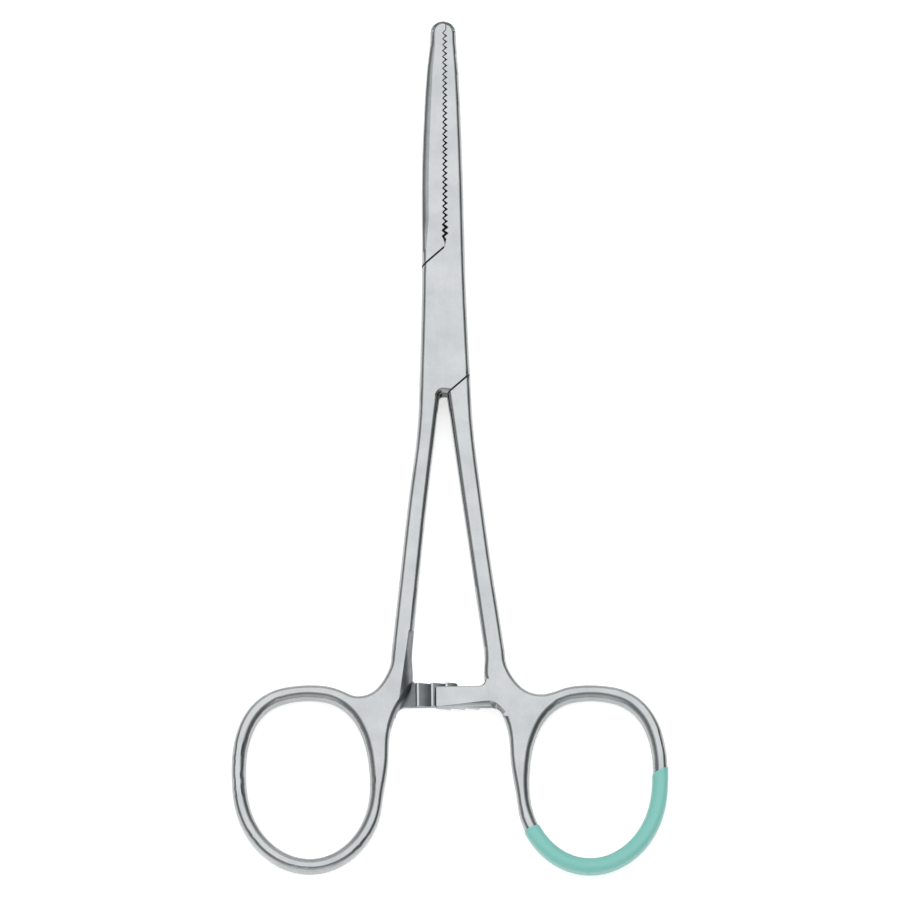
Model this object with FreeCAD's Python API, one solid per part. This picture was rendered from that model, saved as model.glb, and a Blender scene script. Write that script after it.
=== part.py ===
import FreeCAD, Part
import math
import os

# Straight pean forceps, 140 mm long, lying flat with its underside on z = 0.
# The hinge axis is the z axis. The tips point along +Y and the finger rings along -Y.
# Every size is in millimetres and every angle in degrees.

# Thickness, the same on both sides of the middle plane that the halves share
box_thickness = 4.8
shank_thickness = 4.1
ring_thickness = 3.7
tip_thickness = 2.3
middle = box_thickness / 2

# Jaws: full widths of the closed pair, and how far from the hinge each one is
tip_reach = 50.2
nose_width = 4.1
taper_width = 5.15
jaw_at = 30.4
jaw_width = 6.14
tip_shift = 0.35
meet_shift = 0.22
meet_lean = 0.55
tooth_pitch = 1.0
tooth_height = 0.5
tooth_overlap = 0.17
groove_depth = 0.66
jaw_gap = 0.09
first_tooth_at = 14.5
slit_gap = 0.12
taper_length = 9.3

# Box lock
box_at = 3.4
box_width = 7.1
foot_at = -12.3
foot_width = 8.24
shoulder_at = 12.05
shoulder_angle = 41.0
shoulder_gap = 0.15
slot_gap = 0.35
slot_height = 1.7
tongue_play = 0.05

# Riveted pin with countersunk heads, ground flush
pin_diameter = 2.4
pin_play = 0.04
head_diameter = 3.4
head_depth = 0.5

# Shanks: where the outer and inner edges run on the box half and on the tongue half
shank_mid_at = -33.7
shank_end_at = -53.5
shank_end_x = 7.31
shank_end_width = 3.22
box_half_mid_x = 5.1
box_half_mid_width = 2.97
tongue_half_mid_x = 4.66
tongue_half_mid_width = 3.14
crotch_foot_at = -14.4
crotch_top_at = -11.45
crotch_round = 0.65
crotch_play = 0.25
box_half_crotch_x = 1.24
tongue_half_crotch_x = 0.66

# Finger rings. The box half's ring lies a little nearer to the hinge.
ring_x = 22.45
ring_y = -74.8
ring_skew = 0.27
hole_width = 19.6
hole_length = 26.0
ring_band = 2.3
ring_lean = 2.6
ring_front_shape = 2.5
ring_back_shape = 2.03
ring_first = -42.0
ring_last = -291.0
ring_arcs = 12

# Junction of shank and ring: the saddle outside and the heel inside
saddle_x = 14.1
saddle_y = -61.1
throat_x = 9.38
throat_y = -56.6
heel_top_x = 5.95
heel_top_y = -59.5
heel_bend_x = 8.6
heel_bend_y = -64.4
heel_side_x = 10.15
heel_side_y = -75.0

# Bevels of the long edges, each as its width on the face and its depth down the side:
# a flat one beside the ground face, and a steep one below it
face_bevel = (0.66, 0.5)
side_bevel = (0.25, 1.0)
hole_face_bevel = (1.0, 0.66)
hole_side_bevel = (0.42, 1.4)

# Ratchet: the lower arm is on the box half, the upper arm on the tongue half
rack_pitch = 2.28
rack_teeth = 3
rack_depth = 0.8
rack_rake = 0.2
rack_land = 0.32
rack_gap = 0.06
arm_root = 9.0
arm_round = 0.35
arm_edge = 0.2
arm_flare = 1.1
arm_flare_x = 5.85
arm_back_flare = 1.6
arm_back_flare_x = 8.4
lower_arm_end = 1.45
lower_arm_front = -58.8
lower_arm_width = 3.75
lower_tooth_at = -0.15
upper_arm_end = 2.15
upper_arm_front = -59.85
upper_arm_width = 3.5
upper_tooth_at = 0.05

# Slope that leads from the left shank's face down to the lower rack
recess_x = 7.6
recess_at = -60.0
recess_turn = 8.5
recess_slope = 50.0
recess_up = 9.5
recess_down = 3.0

# Colour dip on the tongue half's ring
coat_thickness = 0.12
dip_line_at = -88.8
dip_line_angle = 24.0

# Edges that vary by less than this along an axis are level with it
level_within = 0.01

# Sizes that follow from the ones above
taper_at = tip_reach - taper_length
nose_at = tip_reach - nose_width / 2
tooth_count = int((tip_reach - first_tooth_at) / tooth_pitch)
beyond = tip_reach - ring_y + hole_length


def point(x, y, z=0.0):
    return FreeCAD.Vector(x, y, z)


def unit(vector):
    return FreeCAD.Vector(vector).normalize()


def line(start, end):
    return Part.LineSegment(start, end).toShape()


def chain(points):
    return [line(a, b) for a, b in zip(points[:-1], points[1:])]


# An arc that leaves its start in a given direction, or a line where it would be straight
def arcFrom(start, leave, end):
    chord = end - start
    along = unit(chord)
    angle = leave.getAngle(chord)
    if angle < 1e-4:
        return line(start, end)
    aside = unit(leave - along * leave.dot(along))
    crown = (start + end) * 0.5 + aside * (chord.Length / 2 * math.tan(angle / 2))
    return Part.Arc(start, crown, end).toShape()


# Two tangent arcs from one point and direction to the next
def arcPair(start, leave, end, arrive):
    gap = end - start
    along = gap.dot(leave + arrive)
    spread = 2 * (1 - leave.dot(arrive)) * gap.dot(gap)
    reach = gap.dot(gap) / (along + math.sqrt(along ** 2 + spread))
    joint = (start + end + (leave - arrive) * reach) * 0.5
    turn = unit(end - arrive * reach - start - leave * reach)
    return [arcFrom(start, leave, joint), arcFrom(joint, turn, end)]


# A smooth run of tangent arcs through points
def flowing(points, leave, arrive):
    directions = [unit(leave)]
    for before, here, after in zip(points, points[1:], points[2:]):
        first = here - before
        second = after - here
        directions.append(unit(unit(first) * second.Length + unit(second) * first.Length))
    directions.append(unit(arrive))
    edges = []
    for i in range(len(points) - 1):
        edges += arcPair(points[i], directions[i], points[i + 1], directions[i + 1])
    return edges


# A finger ring's outline is a leaning oval, squarer towards the box. The box half's
# ring is side 1 and the tongue half's is side -1, both drawn on the left.
def ringCentre(side):
    return point(-ring_x, ring_y + side * ring_skew)


def ringPoint(turn, grow, side):
    angle = math.radians(turn)
    shape = ring_back_shape + (ring_front_shape - ring_back_shape) * (1 + math.sin(angle)) / 2
    across = abs(math.cos(angle)) / (hole_width / 2 + grow)
    along = abs(math.sin(angle)) / (hole_length / 2 + grow)
    reach = (across ** shape + along ** shape) ** (-1 / shape)
    lean = angle + math.radians(ring_lean)
    return ringCentre(side) + point(reach * math.cos(lean), reach * math.sin(lean))


def ringDirection(turn, grow, side):
    return unit(ringPoint(turn - 1, grow, side) - ringPoint(turn + 1, grow, side))


def ringLoop(first, last, count, grow, side):
    edges = []
    step = (last - first) / count
    for i in range(count):
        ends = []
        for turn in (first + step * i, first + step * (i + 1)):
            ends += [ringPoint(turn, grow, side), ringDirection(turn, grow, side)]
        edges += arcPair(*ends)
    return edges


def closedRing(grow, side):
    return closed(ringLoop(0, -360, ring_arcs, grow, side))


def closed(edges):
    return Part.Wire(Part.sortEdges(edges)[0])


def block(plan, low, high):
    solid = Part.Face(plan).extrude(point(0, 0, high - low))
    solid.translate(point(0, 0, low))
    return solid


def tallBlock(plan):
    return block(plan, -box_thickness, 2 * box_thickness)


# The toothed faces meet on a line that leans a little from the long axis
def meetingX(y):
    return meet_shift + (y - shoulder_at) * math.tan(math.radians(meet_lean))


# Zigzag from the box to the tip, as offsets from the meeting line
def toothedEdge(side, slit, groove, peak):
    slit_end = first_tooth_at - tooth_pitch
    points = [point(side * meetingX(slit_end) + slit, slit_end)]
    for i in range(tooth_count):
        y = first_tooth_at + tooth_pitch * i
        points.append(point(side * meetingX(y - tooth_pitch / 2) + peak, y - tooth_pitch / 2))
        points.append(point(side * meetingX(y) + groove, y))
    return points


# The round nose of the closed jaws
def noseArc(side):
    left = point(side * tip_shift - nose_width / 2, nose_at)
    right = point(side * tip_shift + nose_width / 2, nose_at)
    return Part.Arc(left, point(side * tip_shift, tip_reach), right).toShape()


# Two straight runs with a tangent arc where they meet
def roundedCorner(start, corner, end, radius):
    first = unit(start - corner)
    second = unit(end - corner)
    half_angle = first.getAngle(second) / 2
    reach = radius / math.tan(half_angle)
    arc_middle = corner + unit(first + second) * (radius / math.sin(half_angle) - radius)
    arc_start = corner + first * reach
    arc_end = corner + second * reach
    edges = [Part.Arc(arc_start, arc_middle, arc_end).toShape()]
    if (start - arc_start).Length > 1e-6:
        edges.insert(0, line(start, arc_start))
    if (end - arc_end).Length > 1e-6:
        edges.append(line(arc_end, end))
    return edges


# The back of a jaw and the side of the box, from the foot to the nose
def sideEdges(side, across):
    shift = side * tip_shift
    points = [
        point(across * foot_width / 2, foot_at),
        point(across * box_width / 2, box_at),
        point(across * jaw_width / 2, jaw_at),
        point(across * taper_width / 2 + shift / 2, taper_at),
        point(across * nose_width / 2 + shift, nose_at),
    ]
    return flowing(points, flankSlope(across), point(0, 1))


def flankSlope(across):
    return point(across * (box_width - foot_width) / 2, box_at - foot_at)


# The plan that one half is cut from: the whole blade with both jaws, and on the
# left the half's own shank and ring. The tongue half is made the same way, mirrored.
def blankPlan(side, crotch_x, mid_x, mid_width):
    edges = sideEdges(side, 1) + [noseArc(side)] + sideEdges(side, -1)

    # crotch and inner edge of the shank
    foot = point(foot_width / 2, foot_at)
    inner_foot = point(-crotch_x, crotch_foot_at)
    inner_mid = point(mid_width / 2 - mid_x, shank_mid_at)
    shank_in = point(shank_end_width / 2 - shank_end_x, shank_end_at)
    inner_slope = unit(inner_mid - inner_foot)
    crotch = inner_foot - inner_slope * (crotch_top_at - crotch_foot_at)
    edges += roundedCorner(foot, crotch, inner_foot, crotch_round)
    down = unit(shank_in - inner_mid)
    edges += flowing([inner_foot, inner_mid, shank_in], inner_slope, down)

    # heel, ring and saddle
    heel = [
        shank_in,
        point(-heel_top_x, heel_top_y),
        point(-heel_bend_x, heel_bend_y),
        point(-heel_side_x, heel_side_y),
        ringPoint(ring_first, ring_band, side),
    ]
    edges += flowing(heel, down, ringDirection(ring_first, ring_band, side))
    edges += ringLoop(ring_first, ring_last, ring_arcs, ring_band, side)
    shank_out = point(-shank_end_width / 2 - shank_end_x, shank_end_at)
    outer_mid = point(-mid_width / 2 - mid_x, shank_mid_at)
    up = unit(outer_mid - shank_out)
    saddle = [
        ringPoint(ring_last, ring_band, side),
        point(-saddle_x, saddle_y),
        point(-throat_x, throat_y),
        shank_out,
    ]
    edges += flowing(saddle, ringDirection(ring_last, ring_band, side), up)

    # outer edge of the shank, up to the box
    edges += flowing([shank_out, outer_mid, point(-foot_width / 2, foot_at)], up, flankSlope(-1))
    return edges


# The thickness along the tool: full in the box, slimmer in the shanks, tapered to the tip
def sideProfile():
    back = ring_y - hole_length
    front = tip_reach + box_thickness
    edges = []
    ends = []
    for sign in (1, -1):
        level = point(0, 1)
        shank_end = point(0, shank_end_at, middle + sign * ring_thickness / 2)
        foot = point(0, foot_at, middle + sign * box_thickness / 2)
        shoulder = point(0, shoulder_at, middle + sign * box_thickness / 2)
        shank_mid = point(0, shank_mid_at, middle + sign * shank_thickness / 2)
        tip = point(0, tip_reach, middle + sign * tip_thickness / 2)
        edges += [line(point(0, back, shank_end.z), shank_end)]
        edges += flowing([shank_end, shank_mid, foot], level, level)
        edges += [line(foot, shoulder), arcFrom(shoulder, level, tip)]
        edges += [line(tip, point(0, front, tip.z))]
        ends += [point(0, back, shank_end.z), point(0, front, tip.z)]
    edges += [line(ends[0], ends[2]), line(ends[1], ends[3])]
    profile = Part.Face(closed(edges))
    profile.translate(point(-beyond, 0))
    return profile.extrude(point(2 * beyond, 0))


# Long edges run along the plan; what is left out stands upright or crosses the top
def longEdges(solid):
    found = []
    for edge in solid.Edges:
        size = edge.BoundBox
        crosses = size.XLength > tip_thickness / 2 and size.YLength < level_within
        upright = size.ZLength > tip_thickness / 2 and size.YLength < tip_thickness / 2
        if not crosses and not upright:
            found.append(edge)
    return found


# Whether an edge lies on the finger hole and not on the outline
def onHole(edge, side):
    spot = edge.valueAt((edge.FirstParameter + edge.LastParameter) / 2)
    spoke = point(spot.x, spot.y) - ringCentre(side)
    turn = math.degrees(math.atan2(spoke.y, spoke.x)) - ring_lean
    return spoke.Length < (ringPoint(turn, ring_band / 2, side) - ringCentre(side)).Length


# Edges cut back by a width on the flat face and a depth down the side wall
def chamfered(solid, sizes):
    carrier = {}
    for face in solid.Faces:
        for edge in face.Edges:
            carrier.setdefault(edge.hashCode(), face)
    rows = []
    for i, edge in enumerate(solid.Edges):
        if sizes[i] is None:
            continue
        width, depth = sizes[i]
        face = carrier[edge.hashCode()]
        first_u, last_u, first_v, last_v = face.ParameterRange
        upright = abs(face.normalAt((first_u + last_u) / 2, (first_v + last_v) / 2).z) < 0.5
        rows.append((i + 1, depth, width) if upright else (i + 1, width, depth))
    work = FreeCAD.newDocument()
    base = work.addObject("Part::Feature", "base")
    base.Shape = solid
    rim = work.addObject("Part::Chamfer", "rim")
    rim.Base = base
    rim.Edges = rows
    work.recompute()
    result = rim.Shape.copy()
    FreeCAD.closeDocument(work.Name)
    return result


# A flat and a steep bevel on the same edges leave the stepped rounding of a ground forging
def bevelled(solid, edges, flat_bevel, steep_bevel):
    flat = [None] * len(solid.Edges)
    steep = [None] * len(solid.Edges)
    for i, edge in enumerate(solid.Edges):
        if any(edge.isSame(other) for other in edges):
            flat[i] = flat_bevel(edge)
            steep[i] = steep_bevel(edge)
    result = chamfered(solid, flat).common(chamfered(solid, steep))
    return result.Solids[0].removeSplitter()


# A half before its teeth, slot and shoulders are cut: full blade, own shank and ring
def halfBlank(side, crotch_x, mid_x, mid_width):
    solid = tallBlock(closed(blankPlan(side, crotch_x, mid_x, mid_width)))
    solid = solid.cut(tallBlock(closedRing(0, side))).common(sideProfile()).Solids[0]
    return bevelled(
        solid,
        longEdges(solid),
        lambda edge: hole_face_bevel if onHole(edge, side) else face_bevel,
        lambda edge: hole_side_bevel if onHole(edge, side) else side_bevel)


def shoulderY(sign, x):
    return sign * shoulder_at + x * math.tan(math.radians(shoulder_angle))


# Beyond the toothed edge and the upper shoulder lies the other half's jaw
def otherJaw(edge):
    corner = point(edge[0].x, shoulderY(1, edge[0].x))
    far = [point(edge[-1].x, beyond), point(-beyond, beyond), point(-beyond, shoulderY(1, -beyond))]
    return tallBlock(Part.Wire(chain([corner] + edge + far + [corner])))


# Below the lower shoulder lies the other half's shank
def otherShank():
    start = point(crotch_play, shoulderY(-1, crotch_play))
    low = point(crotch_play, start.y - beyond)
    far = point(beyond, shoulderY(-1, beyond))
    return tallBlock(Part.Wire(chain([start, far, point(beyond, low.y), low, start])))


# The slot runs square to its end walls, which slope against the shoulders
def slotBlock(low, high, gap):
    half_length = shoulder_at * math.cos(math.radians(shoulder_angle)) + gap
    slab = Part.makeBox(2 * beyond, 2 * half_length, high - low, point(-beyond, -half_length, low))
    slab.rotate(point(0, 0), point(0, 0, 1), -shoulder_angle)
    return slab


# A ratchet arm in the lower half of the thickness, teeth up, steep flanks to the left
def ratchetArm(front, width, end, tooth_at):
    floor = middle - ring_thickness / 2
    crest = middle - rack_gap / 2
    valley = crest - rack_depth
    back = front - width
    outline = [point(-arm_root, 0, floor), point(-arm_root, 0, valley)]
    for i in range(rack_teeth):
        x = tooth_at - rack_pitch * (rack_teeth - 1 - i)
        outline.append(point(x - rack_land - rack_rake, 0, valley))
        outline.append(point(x - rack_land, 0, crest))
        outline.append(point(x, 0, crest))
    drop = rack_depth * (end - tooth_at) / (rack_pitch - rack_rake - rack_land)
    outline += [point(end, 0, crest - drop), point(end, 0, floor), outline[0]]
    bar = Part.Face(Part.Wire(chain(outline))).extrude(point(0, beyond))
    bar.translate(point(0, back - beyond / 2))

    # in plan the arm flares into the shank and the heel, and its free end has rounded corners
    centre = (front + back) / 2
    flare_top = point(-arm_flare_x, front + arm_flare)
    flare_foot = point(-arm_back_flare_x, back - arm_back_flare)
    front_middle = point(-arm_flare, front)
    back_middle = point(-arm_flare, back)
    tip_middle = point(end, centre)
    edges = roundedCorner(flare_top, point(-arm_flare_x, front), front_middle, arm_flare)
    edges += roundedCorner(front_middle, point(end, front), tip_middle, arm_round)
    edges += roundedCorner(tip_middle, point(end, back), back_middle, arm_round)
    edges += roundedCorner(back_middle, point(-arm_back_flare_x, back), flare_foot, arm_back_flare)
    edges += chain([flare_foot, point(-arm_root, flare_foot.y), point(-arm_root, flare_top.y), flare_top])
    bar = bar.common(block(closed(edges), 0, middle))

    # the rims of the outer face are bevelled as far as they stand free
    rims = []
    for edge in bar.Edges:
        size = edge.BoundBox
        buried = size.XMin < -arm_root + arm_edge
        if size.ZMax < floor + level_within and not buried:
            rims.append(edge)
    return bar.makeChamfer(arm_edge, rims)


def lockPin():
    shank = Part.makeCylinder(pin_diameter / 2, box_thickness)
    foot = Part.makeCone(head_diameter / 2, pin_diameter / 2, head_depth)
    head = Part.makeCone(pin_diameter / 2, head_diameter / 2, head_depth)
    head.translate(point(0, 0, box_thickness - head_depth))
    return shank.fuse([foot, head]).removeSplitter()


# A slope cut down from the left shank's inner edge to the foot of the lower rack
def rackRecess():
    valley = middle - rack_gap / 2 - rack_depth
    top = middle + ring_thickness / 2
    steep = math.tan(math.radians(recess_slope))
    run = (top - valley) / steep
    rise = box_thickness
    outline = [
        point(run, 0, valley),
        point(-rise / steep, 0, top + rise),
        point(beyond, 0, top + rise),
        point(beyond, 0, valley),
        point(run, 0, valley),
    ]
    wedge = Part.Face(Part.Wire(chain(outline))).extrude(point(0, recess_up + recess_down))
    wedge.translate(point(0, -recess_down))
    wedge.rotate(point(0, 0), point(0, 0, 1), -recess_turn)
    wedge.translate(point(-recess_x, recess_at))
    return wedge


def boxHalf(pin):
    peak = tooth_overlap - tooth_height + jaw_gap
    edge = toothedEdge(1, slit_gap / 2, peak + groove_depth, peak)
    half = halfBlank(1, box_half_crotch_x, box_half_mid_x, box_half_mid_width)
    half = half.cut([otherJaw(edge), otherShank()])
    half = half.cut(slotBlock(middle - slot_height / 2, middle + slot_height / 2, slot_gap))
    half = half.cut(rackRecess())
    arm = ratchetArm(lower_arm_front, lower_arm_width, lower_arm_end, lower_tooth_at)
    return half.fuse(arm).removeSplitter().cut(pin)


def turnedOver(solid):
    solid.rotate(point(0, 0, middle), point(0, 1, 0), 180)
    return solid


def tongueHalf():
    tongue = slot_height / 2 - tongue_play
    edge = toothedEdge(-1, slit_gap / 2, -tooth_overlap, tooth_height - tooth_overlap)
    half = halfBlank(-1, tongue_half_crotch_x, tongue_half_mid_x, tongue_half_mid_width)
    half = half.cut([otherJaw(edge), otherShank()])
    arm = ratchetArm(upper_arm_front, upper_arm_width, upper_arm_end, upper_tooth_at)
    half = turnedOver(half.fuse(arm).removeSplitter())
    below = turnedOver(slotBlock(middle + tongue, 2 * box_thickness, shoulder_gap))
    above = turnedOver(slotBlock(-box_thickness, middle - tongue, shoulder_gap))
    bore = Part.makeCylinder(pin_diameter / 2 + pin_play, box_thickness)
    return half.cut([below, above, bore])


# The bevel of a coated edge, so that the skin has the same thickness all over
def coatedBevel(bevel):
    width, depth = bevel
    slope = math.hypot(width, depth)
    return (
        width + coat_thickness * (1 + (width - slope) / depth),
        depth + coat_thickness * (1 + (depth - slope) / width))


# The dip coats the ring below a line that crosses it at a slant
def colourCoating(half):
    reach = ring_thickness / 2 + coat_thickness
    skin = block(closedRing(ring_band + coat_thickness, -1), middle - reach, middle + reach)
    skin = skin.cut(tallBlock(closedRing(-coat_thickness, -1)))
    rims = [edge for edge in skin.Edges if edge.BoundBox.ZLength < level_within]
    skin = turnedOver(bevelled(
        skin,
        rims,
        lambda edge: coatedBevel(hole_face_bevel if onHole(edge, -1) else face_bevel),
        lambda edge: coatedBevel(hole_side_bevel if onHole(edge, -1) else side_bevel)))
    dip = Part.makeBox(2 * beyond, beyond, 3 * box_thickness, point(-beyond, -beyond, -box_thickness))
    dip.rotate(point(0, 0), point(0, 0, 1), dip_line_angle)
    dip.translate(point(0, dip_line_at))
    return skin.common(dip).cut(half)


def main():
    os.makedirs("parts", exist_ok=True)
    pin = lockPin()
    tongue_half = tongueHalf()
    pieces = {
        "box_half": boxHalf(pin),
        "tongue_half": tongue_half,
        "lock_pin": pin,
        "colour_coating": colourCoating(tongue_half),
    }
    for name, shape in pieces.items():
        solids = shape.Solids
        print(name, len(solids), "solid", shape.isValid(), round(shape.Volume, 1), "mm3")
        solids[0].exportStep("parts/" + name + ".step")


main()
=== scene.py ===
# Straight pean forceps on a white table, seen from above its finger rings
import bpy
import math
from mathutils import Matrix, Vector


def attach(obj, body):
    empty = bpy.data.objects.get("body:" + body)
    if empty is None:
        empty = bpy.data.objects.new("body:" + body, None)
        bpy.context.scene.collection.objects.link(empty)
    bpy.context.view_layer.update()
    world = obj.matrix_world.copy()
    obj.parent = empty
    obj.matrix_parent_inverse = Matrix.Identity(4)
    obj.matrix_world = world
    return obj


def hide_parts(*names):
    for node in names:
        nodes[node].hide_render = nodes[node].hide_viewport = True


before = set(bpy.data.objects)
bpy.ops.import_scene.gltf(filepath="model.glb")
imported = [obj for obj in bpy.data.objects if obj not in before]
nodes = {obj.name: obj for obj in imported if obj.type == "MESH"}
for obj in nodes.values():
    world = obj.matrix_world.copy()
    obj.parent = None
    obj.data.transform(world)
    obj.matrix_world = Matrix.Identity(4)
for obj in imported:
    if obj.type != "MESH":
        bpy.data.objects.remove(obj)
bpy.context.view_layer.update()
print("frame loaded")

millimetre = 0.001


# Small helpers for building node trees

def addNode(tree, kind, **settings):
    node = tree.nodes.new(kind)
    for name, value in settings.items():
        setattr(node, name, value)
    return node


# Sets a socket to a number, or links it to another socket
def feed(tree, socket, value):
    if isinstance(value, (int, float)):
        socket.default_value = value
    else:
        tree.links.new(value, socket)


def mathNode(tree, operation, *values):
    node = addNode(tree, "ShaderNodeMath", operation=operation)
    for i, value in enumerate(values):
        feed(tree, node.inputs[i], value)
    return node.outputs[0]


def noiseNode(tree, coordinates, scale, detail, roughness=0.5):
    node = addNode(tree, "ShaderNodeTexNoise")
    tree.links.new(coordinates, node.inputs["Vector"])
    feed(tree, node.inputs["Scale"], scale)
    node.inputs["Detail"].default_value = detail
    node.inputs["Roughness"].default_value = roughness
    return node.outputs["Fac"]


# The share of a value between two ends, from 0 to 1
def rangeNode(tree, value, low, high, smooth=False):
    kind = "SMOOTHSTEP" if smooth else "LINEAR"
    node = addNode(tree, "ShaderNodeMapRange", interpolation_type=kind)
    tree.links.new(value, node.inputs["Value"])
    node.inputs["From Min"].default_value = low
    node.inputs["From Max"].default_value = high
    return node.outputs[0]


def mixColour(tree, factor, first, second):
    node = addNode(tree, "ShaderNodeMix", data_type="RGBA")
    tree.links.new(factor, node.inputs["Factor"])
    node.inputs["A"].default_value = (*first, 1.0)
    node.inputs["B"].default_value = (*second, 1.0)
    return node.outputs["Result"]


def newGroup(name, inputs, outputs):
    group = bpy.data.node_groups.new(name, "ShaderNodeTree")
    for label, kind, value in inputs:
        socket = group.interface.new_socket(label, in_out="INPUT", socket_type=kind)
        if value is not None:
            socket.default_value = value
    for label, kind in outputs:
        group.interface.new_socket(label, in_out="OUTPUT", socket_type=kind)
    return group, addNode(group, "NodeGroupInput"), addNode(group, "NodeGroupOutput")


def useGroup(tree, group, coordinates, **values):
    node = addNode(tree, "ShaderNodeGroup", node_tree=group)
    tree.links.new(coordinates, node.inputs["Vector"])
    for label, value in values.items():
        node.inputs[label].default_value = value
    return node


def newMaterial(name):
    material = bpy.data.materials.new(name)
    material.use_nodes = True
    return material, material.node_tree


# Ground grain: fine streaks one way, broken by a softer cloud
grainLook = {
    "fineDetail": 4.0,
    "fineRoughness": 0.62,
    "cloud": (190.0, 3.0, 0.6),
    "cloudSpread": (0.35, 0.65),
    "middle": 0.5,
}


def makeGroundGrain():
    look = grainLook
    group, start, end = newGroup(
        "groundGrain",
        [("Vector", "NodeSocketVector", None),
         ("Streak", "NodeSocketVector", (1.0, 1.0, 1.0)),
         ("Scale", "NodeSocketFloat", 1000.0)],
        [("Grain", "NodeSocketFloat"), ("Cloud", "NodeSocketFloat")])
    stretch = addNode(group, "ShaderNodeVectorMath", operation="MULTIPLY")
    group.links.new(start.outputs["Vector"], stretch.inputs[0])
    group.links.new(start.outputs["Streak"], stretch.inputs[1])
    fine = noiseNode(
        group, stretch.outputs[0], start.outputs["Scale"],
        look["fineDetail"], look["fineRoughness"])
    cloud = noiseNode(group, start.outputs["Vector"], *look["cloud"])
    group.links.new(fine, end.inputs["Grain"])
    group.links.new(cloud, end.inputs["Cloud"])
    return group


groundGrain = makeGroundGrain()

# Five copies of one steel: the ground flats, and four darker copies with painted shade on
# the bevels, the racks (rougher too), the rim of the nose, and the walls of the narrow gaps
steelLook = {
    "flat": {
        "base": (0.60, 0.625, 0.64),
        "cloudTint": (0.69, 0.71, 0.72),
        "roughness": 0.27,
        "roughnessSwing": 0.10,
        "streak": (1.0, 0.08, 1.0),
        "grainScale": 2600.0,
        "grainHeight": 0.000002,
    },
    # Bevels: a darker copy, with painted shade where the rounded edges turn away from the light
    "edge": {
        "base": (0.35, 0.365, 0.372),
        "cloudTint": (0.42, 0.435, 0.44),
        "roughness": 0.25,
        "roughnessSwing": 0.10,
        "streak": (1.0, 1.0, 1.0),
        "grainScale": 2200.0,
        "grainHeight": 0.000003,
    },
    # Racks and the slope under the upper arm: a darker copy with painted shade, and rougher
    "rack": {
        "base": (0.25, 0.27, 0.28),
        "cloudTint": (0.34, 0.36, 0.37),
        "roughness": 0.42,
        "roughnessSwing": 0.10,
        "streak": (0.3, 1.0, 1.0),
        "grainScale": 2000.0,
        "grainHeight": 0.000005,
    },
    # Rim of the nose: a nearly black copy, painted shade where it faces the dark far side
    "nose": {
        "base": (0.13, 0.14, 0.145),
        "cloudTint": (0.17, 0.18, 0.185),
        "roughness": 0.3,
        "roughnessSwing": 0.10,
        "streak": (1.0, 1.0, 1.0),
        "grainScale": 2200.0,
        "grainHeight": 0.000003,
    },
    # Walls of the narrow gaps: a dark copy, painted shade where the gaps shut out the light
    "gap": {
        "base": (0.15, 0.155, 0.16),
        "cloudTint": (0.2, 0.206, 0.21),
        "roughness": 0.5,
        "roughnessSwing": 0.0,
        "streak": (1.0, 1.0, 1.0),
        "grainScale": 2000.0,
        "grainHeight": 0.000003,
    },
}


def makeSteel(name, look):
    material, tree = newMaterial(name)
    shader = tree.nodes["Principled BSDF"]
    place = addNode(tree, "ShaderNodeTexCoord").outputs["Object"]
    grain = useGroup(
        tree, groundGrain, place, Streak=look["streak"], Scale=look["grainScale"])

    cloud = rangeNode(tree, grain.outputs["Cloud"], *grainLook["cloudSpread"])
    colour = mixColour(tree, cloud, look["base"], look["cloudTint"])
    tree.links.new(colour, shader.inputs["Base Color"])

    swing = mathNode(tree, "SUBTRACT", grain.outputs["Grain"], grainLook["middle"])
    rough = mathNode(
        tree, "MULTIPLY_ADD", swing, look["roughnessSwing"], look["roughness"])
    tree.links.new(rough, shader.inputs["Roughness"])
    shader.inputs["Metallic"].default_value = 1.0

    bump = addNode(tree, "ShaderNodeBump")
    bump.inputs["Strength"].default_value = 1.0
    bump.inputs["Distance"].default_value = look["grainHeight"]
    tree.links.new(grain.outputs["Grain"], bump.inputs["Height"])
    tree.links.new(bump.outputs["Normal"], shader.inputs["Normal"])
    return material


# Mint plastic dip: a thin smooth skin, a little cloudy
coatLook = {
    "base": (0.20, 0.545, 0.485),
    "pale": (0.235, 0.585, 0.53),
    "roughness": 0.33,
    "cloud": (220.0, 2.0),
}


def makeCoat(name, look):
    material, tree = newMaterial(name)
    shader = tree.nodes["Principled BSDF"]
    place = addNode(tree, "ShaderNodeTexCoord").outputs["Object"]
    cloud = noiseNode(tree, place, *look["cloud"])
    colour = mixColour(tree, cloud, look["base"], look["pale"])
    tree.links.new(colour, shader.inputs["Base Color"])
    shader.inputs["Roughness"].default_value = look["roughness"]
    return material


flatSteel = makeSteel("groundFlatSteel", steelLook["flat"])
# Painted shade on the bevels and the other sloping faces
edgeShadeSteel = makeSteel("paintedEdgeShade", steelLook["edge"])
# Painted shade on the racks and the slope under the upper arm
rackShadeSteel = makeSteel("rackShadeSteel", steelLook["rack"])
# Painted shade on the walls of the gaps between the halves
gapShadeSteel = makeSteel("gapShade", steelLook["gap"])
# Painted shade on the rim of the nose
noseShadeSteel = makeSteel("noseShadeSteel", steelLook["nose"])
print("materials done")

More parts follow.
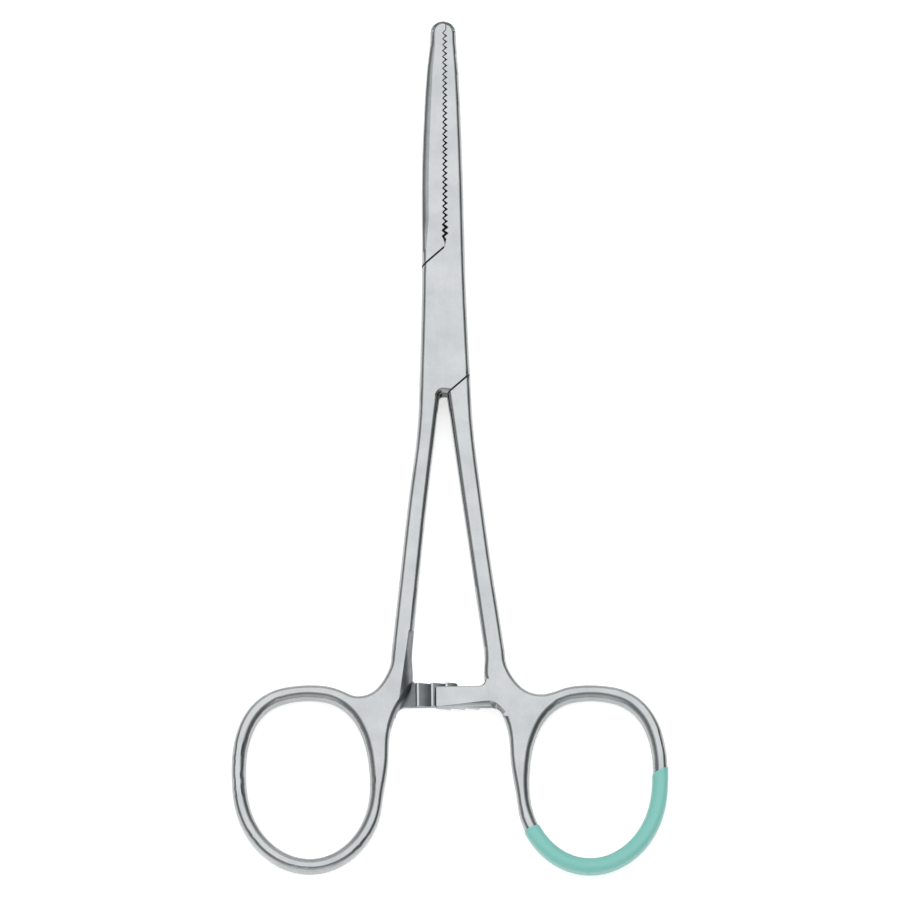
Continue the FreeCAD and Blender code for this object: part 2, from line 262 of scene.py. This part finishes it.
# The dressed halves, with places and moves in millimetres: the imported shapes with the
# stepped bevels shaded round, the toothed gap opened a little and closed at the nose
shellLook = {
    "mergeWithin": 0.002,
    "planarWithin": 0.02,
    "sharpFrom": 45.0,
    "strengths": (("WEAK", 0.1, 0.985), ("MEDIUM", 0.0, 0.1), ("STRONG", 0.985, 1.0)),
    "weight": 50,
    "planeFrom": 0.985,
    "meetShift": 0.22,
    "meetLean": 0.55,
    "meetFrom": 12.05,
    "middle": 2.4,
    "teethFrom": 13.3,
    "gapReach": 0.62,
    "gapOpen": (0.13, 0.05),
    "noseFrom": 48.4,
    "noseClose": (0.25, 0.12),
    "noseAt": 50.2,
    "jawDrop": 1.25,
    "jawEase": 0.45,
    "jawKeep": 1.0,
    "jawMatch": 0.06,
    "lineOpen": 0.07,
}


# Where the two jaws meet, at a place along them
def meetingX(y):
    look = shellLook
    return look["meetShift"] + (y - look["meetFrom"]) * math.tan(math.radians(look["meetLean"]))


def editSelected(mode):
    bpy.ops.object.mode_set(mode="EDIT")
    bpy.ops.mesh.select_mode(type=mode)


# Opens the toothed gap on one jaw, less towards the nose, where it closes
def shiftTeeth(shell, side):
    look = shellLook
    wide, narrow = look["gapOpen"]
    low, high = look["noseClose"]
    for vertex in shell.data.vertices:
        spot = vertex.co / millimetre
        if spot.y < look["teethFrom"] or abs(spot.x - meetingX(spot.y)) > look["gapReach"]:
            continue
        share = (spot.y - look["teethFrom"]) / (look["noseAt"] - look["teethFrom"])
        shift = wide + (narrow - wide) * share
        if side > 0 and spot.y > look["noseFrom"]:
            shift = -low if spot.z < look["middle"] else -high
        elif spot.y > look["noseFrom"]:
            shift = 0.0
        vertex.co.x += side * shift * millimetre


# The left jaw is ground rounder: its flat face is narrower on the outer side
def easeJaw(shell):
    look = shellLook
    for vertex in shell.data.vertices:
        x, y, z = vertex.co / millimetre
        if y < look["teethFrom"] or x > meetingX(y) - look["jawKeep"]:
            continue
        share = (y - look["meetFrom"]) / (look["noseAt"] - look["meetFrom"])
        face = look["middle"] - look["jawDrop"] * share ** 2
        if abs(abs(z - look["middle"]) - face) < look["jawMatch"]:
            vertex.co.x += look["jawEase"] * (1 - share ** 4) * millimetre


# The ground slope along the lower side of the upper ratchet arm, wider towards the shank:
# the heights of its edges, how they move, and the corner that runs into the shank
armEase = {
    "face": 4.25,
    "rim": 4.05,
    "foot": 3.23,
    "match": 0.02,
    "front": -63.15,
    "reach": 1.8,
    "left": -2.2,
    "right": 8.55,
    "arcFrom": 6.7,
    "arcShares": (-0.01, 0.99),
    "arcAcross": (1.2, -0.4),
    "arcBack": 0.88,
    "rimShare": 0.05,
    "rimDrop": -0.6,
    "outward": 0.45,
    "outwardFrom": 0.11,
    "corner": (((8.6, -64.95, 4.25), 0.8), ((9.0, -64.95, 4.25), 0.49)),
    "cornerWithin": 0.03,
}


def easeArm(shell):
    look = armEase
    arcStart, arcEnd = look["arcShares"]
    across, offset = look["arcAcross"]
    for vertex in shell.data.vertices:
        x, y, z = vertex.co / millimetre
        move = Vector()
        share = (look["front"] - y) / look["reach"]
        outward = look["outward"] * max(share - look["outwardFrom"], 0.0)
        if look["left"] < x < look["right"]:
            onArc = arcStart < share < arcEnd and x > look["arcFrom"]
            if abs(z - look["face"]) < look["match"] and onArc:
                move = Vector((across * share + offset, look["arcBack"] * (1 - share), 0.0))
            if abs(z - look["rim"]) < look["match"] and share > look["rimShare"]:
                move = Vector((outward, 0.0, look["rimDrop"]))
            if abs(z - look["foot"]) < look["match"] and share > look["rimShare"]:
                move = Vector((outward, 0.0, 0.0))
        for place, step in look["corner"]:
            if (Vector(place) - Vector((x, y, z))).length < look["cornerWithin"]:
                move = Vector((step, 0.0, 0.0))
        vertex.co += move * millimetre


# Which steel each face gets, the ground flats or a darker copy with painted shade: ranges of
# its centre in millimetres, and of its normal
steelAndShadeZones = {
    "levelFrom": 0.93,
    "uprightBelow": 0.1,
    "teethFrom": 11.8,
    "shoulderReach": 16.0,
    "shoulderFacing": 0.5,
    "crotch": ((-2.3, 2.3), (-16.0, -10.5), (0.8, 4.0)),
    "noseFrom": 48.9,
    "rackArm": ((-8.6, 2.5), (-64.2, -50.0), (1.0, 2.34)),
    "rackSlope": ((-9.5, -3.0), (-64.2, -48.0)),
    "rackLean": ((0.6, 1.0), (-1.0, 1.0), (0.5, 0.75)),
    "rackFoot": ((-9.6, -5.5), (-66.5, -60.0), (1.0, 4.2)),
    "armSlope": ((-2.2, 9.2), (-65.0, -63.1), (3.3, 4.25)),
    "armRise": 0.1,
}


def within(values, ranges):
    return all(low < value < high for value, (low, high) in zip(values, ranges))


def isLevel(normal):
    return abs(normal.z) > steelAndShadeZones["levelFrom"]


def isUpright(normal):
    return abs(normal.z) < steelAndShadeZones["uprightBelow"]


def isShoulder(spot, normal):
    zones = steelAndShadeZones
    facing = isUpright(normal) and abs(normal.y) > zones["shoulderFacing"]
    return facing and abs(spot.y) < zones["shoulderReach"]


def isTooth(spot, normal):
    inGap = abs(spot.x - meetingX(spot.y)) < shellLook["gapReach"]
    return isUpright(normal) and inGap and spot.y > steelAndShadeZones["teethFrom"]


# Faces of the box half's rack, its slope and its foot, which get the painted rack shade
def boxHalfRack(spot, normal):
    zones = steelAndShadeZones
    onSlope = within(spot, zones["rackSlope"]) and within(normal, zones["rackLean"])
    onFoot = within(spot, zones["rackFoot"]) and not isLevel(normal)
    return within(spot, zones["rackArm"]) or onSlope or onFoot


# Sloping faces under the upper arm, which get the painted rack shade
def tongueHalfSlope(spot, normal):
    rising = normal.z > steelAndShadeZones["armRise"] and not isLevel(normal)
    return rising and within(spot, steelAndShadeZones["armSlope"])


# Gives each face the ground flat steel, or one of the darker copies that carry painted shade
def steelOrShadeFor(spot, normal, inRack):
    level = isLevel(normal)
    # Painted shade on the tooth walls, the shoulder walls and the crotch, where the halves meet
    if isTooth(spot, normal) or isShoulder(spot, normal):
        return gapShadeSteel
    if within(spot, steelAndShadeZones["crotch"]) and not level:
        return gapShadeSteel
    # Painted shade on the sloping faces at the nose
    if spot.y > steelAndShadeZones["noseFrom"] and not level:
        return noseShadeSteel
    # Painted shade on the rack faces
    if inRack(spot, normal):
        return rackShadeSteel
    # Level faces get the ground steel; other sloping faces get the darker copy with painted
    # shade
    return flatSteel if level else edgeShadeSteel


# Puts the ground steel and its copies with painted shade on the faces of a dressed half
def paintSteelAndShade(shell, inRack):
    mesh = shell.data
    mesh.materials.clear()
    steelAndShades = (flatSteel, edgeShadeSteel, rackShadeSteel, gapShadeSteel, noseShadeSteel)
    for material in steelAndShades:
        mesh.materials.append(material)
    for face in mesh.polygons:
        steelOrShade = steelOrShadeFor(face.center / millimetre, face.normal, inRack)
        face.material_index = steelAndShades.index(steelOrShade)


# Opens the lines where the halves meet at the box's shoulders
def widenLines(shell):
    moves = {}
    for face in shell.data.polygons:
        if isShoulder(face.center / millimetre, face.normal):
            for index in face.vertices:
                moves[index] = moves.get(index, Vector()) - face.normal
    for index, move in moves.items():
        move.z = 0.0
        step = move.normalized() * shellLook["lineOpen"] * millimetre
        shell.data.vertices[index].co += step


# The ground flats stay plane up to their rims
def keepFlats(mesh):
    normals = [corner.vector.copy() for corner in mesh.corner_normals]
    for face in mesh.polygons:
        if abs(face.normal.z) >= shellLook["planeFrom"]:
            for index in face.loop_indices:
                normals[index] = face.normal.copy()
    mesh.normals_split_custom_set(normals)


# Merges the copied mesh and joins its coplanar faces
def cleanMesh():
    look = shellLook
    editSelected("VERT")
    bpy.ops.mesh.select_all(action="SELECT")
    bpy.ops.mesh.remove_doubles(threshold=look["mergeWithin"] * millimetre)
    bpy.ops.mesh.dissolve_limited(angle_limit=math.radians(look["planarWithin"]))
    bpy.ops.object.mode_set(mode="OBJECT")


# Shades the bevels round, with sharp edges and plane flats kept
def shadeShell(shell):
    look = shellLook
    editSelected("EDGE")
    bpy.ops.mesh.select_all(action="DESELECT")
    bpy.ops.mesh.edges_select_sharp(sharpness=math.radians(look["sharpFrom"]))
    bpy.ops.mesh.mark_sharp()
    bpy.ops.mesh.select_mode(type="FACE")
    for strength, lowest, highest in look["strengths"]:
        bpy.ops.object.mode_set(mode="OBJECT")
        for face in shell.data.polygons:
            face.select = lowest <= abs(face.normal.z) <= highest
        bpy.ops.object.mode_set(mode="EDIT")
        bpy.ops.mesh.mod_weighted_strength(set=True, face_strength=strength)
    bpy.ops.object.mode_set(mode="OBJECT")
    bpy.ops.object.shade_smooth()
    weights = shell.modifiers.new("weights", "WEIGHTED_NORMAL")
    weights.mode = "FACE_AREA"
    weights.weight = look["weight"]
    weights.keep_sharp = True
    weights.use_face_influence = True
    bpy.ops.object.modifier_apply(modifier="weights")
    keepFlats(shell.data)


# Side is 1 for the half with the right jaw, -1 for the other, and 0 for the coating
def makeShell(name, body, side):
    source = nodes[name]
    bpy.ops.object.select_all(action="DESELECT")
    shell = source.copy()
    shell.data = source.data.copy()
    shell.name = name + "_dressed"
    shell.parent = None
    shell.matrix_world = Matrix()
    bpy.context.scene.collection.objects.link(shell)
    bpy.context.view_layer.objects.active = shell
    shell.select_set(True)
    cleanMesh()
    if side:
        shiftTeeth(shell, side)
        widenLines(shell)
    if side < 0:
        easeArm(shell)
        easeJaw(shell)
    shadeShell(shell)
    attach(shell, body)
    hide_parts(name)
    return shell


boxShell = makeShell("box_half", "box_side", 1)
paintSteelAndShade(boxShell, boxHalfRack)
tongueShell = makeShell("tongue_half", "tongue_side", -1)
paintSteelAndShade(tongueShell, tongueHalfSlope)
coatShell = makeShell("colour_coating", "tongue_side", 0)
coatShell.data.materials.clear()
coatShell.data.materials.append(makeCoat("mintDip", coatLook))
pin = nodes["lock_pin"]
pin.data.materials.clear()
pin.data.materials.append(flatSteel)
print("pieces done")

# Studio: a white table under a dome that is bright before and behind the tool and dark
# beside it. A sky is a row of levels from the horizon up.
studio = {
    "floorSize": 6.0,
    "floorGlow": 0.55,
    "floorColour": (0.8, 0.8, 0.8),
    "softHeight": 1.2,
    "softSize": (1.0, 0.8),
    "softLean": 15.0,
    "softRadiance": 0.68,
    "fillHeight": 1.5,
    "fillSize": (3.0, 3.0),
    "fillLean": 0.0,
    "fillRadiance": 0.8,
    "sideSky": ((0.0, 0.8), (0.12, 0.55), (0.3, 0.26), (0.75, 0.22), (0.92, 0.3), (1.0, 0.34)),
    "sideLean": -0.4,
    "frontSky": ((0.0, 0.8), (0.15, 0.8), (0.4, 0.95), (0.8, 0.7), (0.92, 0.35), (1.0, 0.34)),
    "frontTurn": (0.35, 0.85),
    "leastLength": 0.0001,
}
white = (1.0, 1.0, 1.0, 1.0)


def makeFloor():
    bpy.ops.object.select_all(action="DESELECT")
    bpy.ops.mesh.primitive_plane_add(size=studio["floorSize"], location=(0, 0, 0))
    floor = bpy.context.active_object
    floor.name = "floor"
    material, tree = newMaterial("tableTop")
    tree.nodes.clear()
    diffuse = addNode(tree, "ShaderNodeBsdfDiffuse")
    diffuse.inputs["Color"].default_value = (*studio["floorColour"], 1.0)
    path = addNode(tree, "ShaderNodeLightPath").outputs
    seen = mathNode(tree, "MAXIMUM", path["Is Camera Ray"], path["Is Glossy Ray"])
    seen = mathNode(tree, "MAXIMUM", seen, path["Is Transmission Ray"])
    glow = addNode(tree, "ShaderNodeEmission")
    glow.inputs["Color"].default_value = white
    strength = mathNode(tree, "MULTIPLY", seen, studio["floorGlow"])
    tree.links.new(strength, glow.inputs["Strength"])
    both = addNode(tree, "ShaderNodeAddShader")
    tree.links.new(diffuse.outputs[0], both.inputs[0])
    tree.links.new(glow.outputs[0], both.inputs[1])
    out = addNode(tree, "ShaderNodeOutputMaterial")
    tree.links.new(both.outputs[0], out.inputs["Surface"])
    floor.data.materials.append(material)


# An area lamp with the sizes, height, lean and radiance that the studio names
def makeLamp(kind):
    lamp = bpy.data.lights.new(kind + "Box", "AREA")
    lamp.shape = "RECTANGLE"
    lamp.size, lamp.size_y = studio[kind + "Size"]
    lamp.energy = math.pi * lamp.size * lamp.size_y * studio[kind + "Radiance"]
    box = bpy.data.objects.new(kind + "Box", lamp)
    lean = math.radians(studio[kind + "Lean"])
    away = Vector((0, math.sin(lean), math.cos(lean)))
    box.location = away * studio[kind + "Height"]
    box.rotation_euler = away.to_track_quat("Z", "Y").to_euler()
    box.visible_camera = False
    bpy.context.scene.collection.objects.link(box)
    return box


# The soft box shows in the steel; the fill only lifts plastic and table to a plain level
def makeLamps():
    makeLamp("soft")
    makeLamp("fill").visible_glossy = False


def skyRamp(tree, height, stops):
    ramp = addNode(tree, "ShaderNodeValToRGB")
    bar = ramp.color_ramp
    while len(bar.elements) < len(stops):
        bar.elements.new(0.5)
    brightest = max(level for place, level in stops)
    for element, (place, level) in zip(bar.elements, stops):
        share = level / brightest
        element.position = place
        element.color = (share, share, share, 1.0)
    tree.links.new(height, ramp.inputs["Fac"])
    value = addNode(tree, "ShaderNodeSeparateColor")
    tree.links.new(ramp.outputs["Color"], value.inputs[0])
    return mathNode(tree, "MULTIPLY", value.outputs[0], brightest)


def makeWorld():
    world = bpy.data.worlds.new("studio")
    bpy.context.scene.world = world
    world.use_nodes = True
    tree = world.node_tree
    background = tree.nodes["Background"]
    part = addNode(tree, "ShaderNodeSeparateXYZ")
    tree.links.new(addNode(tree, "ShaderNodeTexCoord").outputs["Generated"], part.inputs[0])
    x, y, z = part.outputs
    side = mathNode(tree, "MULTIPLY", x, x)
    front = mathNode(tree, "MULTIPLY", y, y)
    length = mathNode(tree, "ADD", mathNode(tree, "ADD", side, front), studio["leastLength"])
    share = mathNode(tree, "DIVIDE", front, length)
    turned = rangeNode(tree, share, *studio["frontTurn"], smooth=True)
    lean = mathNode(tree, "MULTIPLY_ADD", x, studio["sideLean"], 1.0)
    sideLevel = mathNode(tree, "MULTIPLY", skyRamp(tree, z, studio["sideSky"]), lean)
    frontLevel = skyRamp(tree, z, studio["frontSky"])
    step = mathNode(tree, "SUBTRACT", frontLevel, sideLevel)
    level = mathNode(tree, "MULTIPLY_ADD", step, turned, sideLevel)
    tree.links.new(level, background.inputs["Strength"])
    background.inputs["Color"].default_value = white


makeFloor()
makeLamps()
makeWorld()
print("studio done")

# Camera, as in the photograph: nearly overhead, from the ring end, with a long lens
cameraLook = {
    "target": (0.677, -21.25, 4.8),
    "elevation": 75.0,
    "roll": -0.67,
    "lens": 1200.0,
    "sensor": 36.0,
    "frameWidth": 143.1,
    "clipShares": (0.1, 4.0),
}


def makeCamera():
    look = cameraLook
    data = bpy.data.cameras.new("camera")
    data.lens = look["lens"]
    data.sensor_width = look["sensor"]
    data.sensor_fit = "HORIZONTAL"
    distance = look["lens"] / look["sensor"] * look["frameWidth"] * millimetre
    near, far = look["clipShares"]
    data.clip_start = distance * near
    data.clip_end = distance * far
    rise = math.radians(look["elevation"])
    away = Vector((0, -math.cos(rise), math.sin(rise)))
    camera = bpy.data.objects.new("camera", data)
    turn = away.to_track_quat("Z", "Y").to_matrix().to_4x4()
    turn = turn @ Matrix.Rotation(math.radians(look["roll"]), 4, "Z")
    place = Vector(look["target"]) * millimetre + away * distance
    camera.matrix_world = Matrix.Translation(place) @ turn
    bpy.context.scene.collection.objects.link(camera)
    bpy.context.scene.camera = camera


makeCamera()
bpy.context.scene.view_settings.view_transform = "Standard"
print("camera done")
